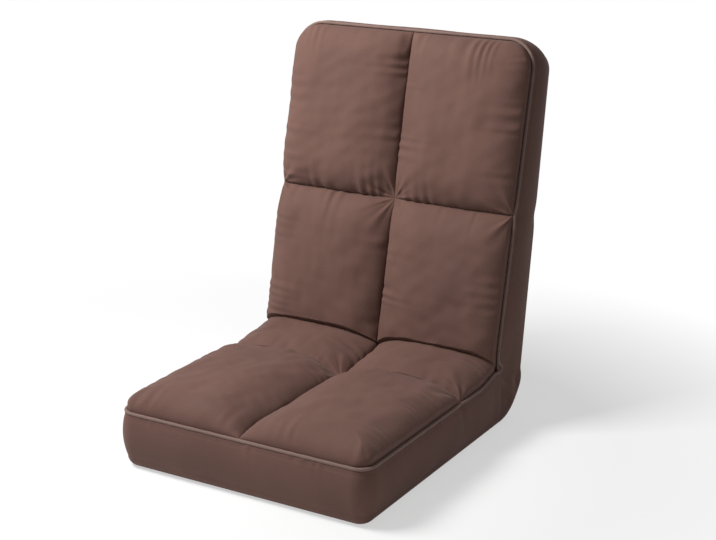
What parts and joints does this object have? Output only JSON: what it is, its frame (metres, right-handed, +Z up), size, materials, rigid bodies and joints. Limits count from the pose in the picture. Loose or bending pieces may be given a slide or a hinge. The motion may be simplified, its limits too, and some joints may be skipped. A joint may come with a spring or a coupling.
{
  "type": "folding floor chair",
  "caption": "Legless floor chair with a quilted seat and back cushion joined by ratchet hinges, so that the back reclines flat or folds forward over the seat.",
  "frame": {"origin": "centre of the seat's flat underside, on the floor", "axes": "+X across the chair to the sitter's left, -Y towards the front of the seat, +Z up; the rest pose has the back raised, its rear panel leaning 9 degrees"},
  "size_m": [0.51, 0.6906, 0.7133],
  "materials": {
    "cover_cloth": "matte",
    "piping_cloth": "matte",
    "base_cloth": "matte",
    "foam": "matte",
    "strap_elastic": "matte",
    "tube_steel": "satin",
    "hinge_steel": "satin",
    "spring_steel": "satin",
    "fastener_steel": "satin",
    "plug_plastic": "matte"
  },
  "bodies": {
    "seat": {"cheek_inner_left": "hinge_steel", "cheek_inner_right": "hinge_steel", "cheek_outer_left": "hinge_steel", "cheek_outer_right": "hinge_steel", "heel_foam": "foam", "heel_wrap": "cover_cloth", "pawl_pins": "fastener_steel", "pawl_spring_left": "spring_steel", "pawl_spring_right": "spring_steel", "piping_tuck_left": "piping_cloth", "piping_tuck_right": "piping_cloth", "pivot_rivets": "fastener_steel", "seat_bolts": "fastener_steel", "seat_cross_tube_1": "tube_steel", "seat_cross_tube_2": "tube_steel", "seat_foam_border": "foam", "seat_foam_lower": "foam", "seat_foam_upper": "foam", "seat_frame_tube": "tube_steel", "seat_gusset": "cover_cloth", "seat_nuts": "fastener_steel", "seat_outer_panel": "base_cloth", "seat_pad_front_left": "cover_cloth", "seat_pad_front_right": "cover_cloth", "seat_pad_rear_left": "cover_cloth", "seat_pad_rear_right": "cover_cloth", "seat_piping": "piping_cloth", "seat_sleeves": "fastener_steel", "seat_strap_1": "strap_elastic", "seat_strap_2": "strap_elastic", "seat_strap_3": "strap_elastic", "seat_strap_4": "strap_elastic", "seat_tube_plugs": "plug_plastic", "side_bridge_left": "cover_cloth", "side_bridge_right": "cover_cloth", "spacer_rivets": "fastener_steel"},
    "back": {"back_bolts": "fastener_steel", "back_cross_tube_1": "tube_steel", "back_cross_tube_2": "tube_steel", "back_foam_border": "foam", "back_foam_lower": "foam", "back_foam_upper": "foam", "back_frame_tube": "tube_steel", "back_gusset": "cover_cloth", "back_nuts": "fastener_steel", "back_outer_panel": "cover_cloth", "back_pad_lower_left": "cover_cloth", "back_pad_lower_right": "cover_cloth", "back_pad_upper_left": "cover_cloth", "back_pad_upper_right": "cover_cloth", "back_piping": "piping_cloth", "back_strap_1": "strap_elastic", "back_strap_2": "strap_elastic", "back_strap_3": "strap_elastic", "back_strap_4": "strap_elastic", "back_tube_plugs": "plug_plastic", "toothed_plate_left": "hinge_steel", "toothed_plate_right": "hinge_steel"},
    "pawl_left": {"pawl_left": "hinge_steel"},
    "pawl_right": {"pawl_right": "hinge_steel"}
  },
  "joints": [
    {"name": "back_recline", "type": "hinge", "parent": "seat", "child": "back", "pos_m": [0, 0.23525, 0.107], "axis": [1, 0, 0], "range_deg": [-81, 72], "deforming": ["heel_wrap", "heel_foam", "side_bridge_left", "side_bridge_right", "piping_tuck_left", "piping_tuck_right", "seat_pad_rear_left", "seat_pad_rear_right", "back_pad_lower_left", "back_pad_lower_right"]},
    {"name": "pawl_left_release", "type": "hinge", "parent": "seat", "child": "pawl_left", "pos_m": [-0.2069, 0.20337, 0.09846], "axis": [1, 0, 0], "range_deg": [0, 10], "stiffness_Nm_per_rad": 0.05},
    {"name": "pawl_right_release", "type": "hinge", "parent": "seat", "child": "pawl_right", "pos_m": [0.2069, 0.20337, 0.09846], "axis": [1, 0, 0], "range_deg": [0, 10], "stiffness_Nm_per_rad": 0.05}
  ]
}
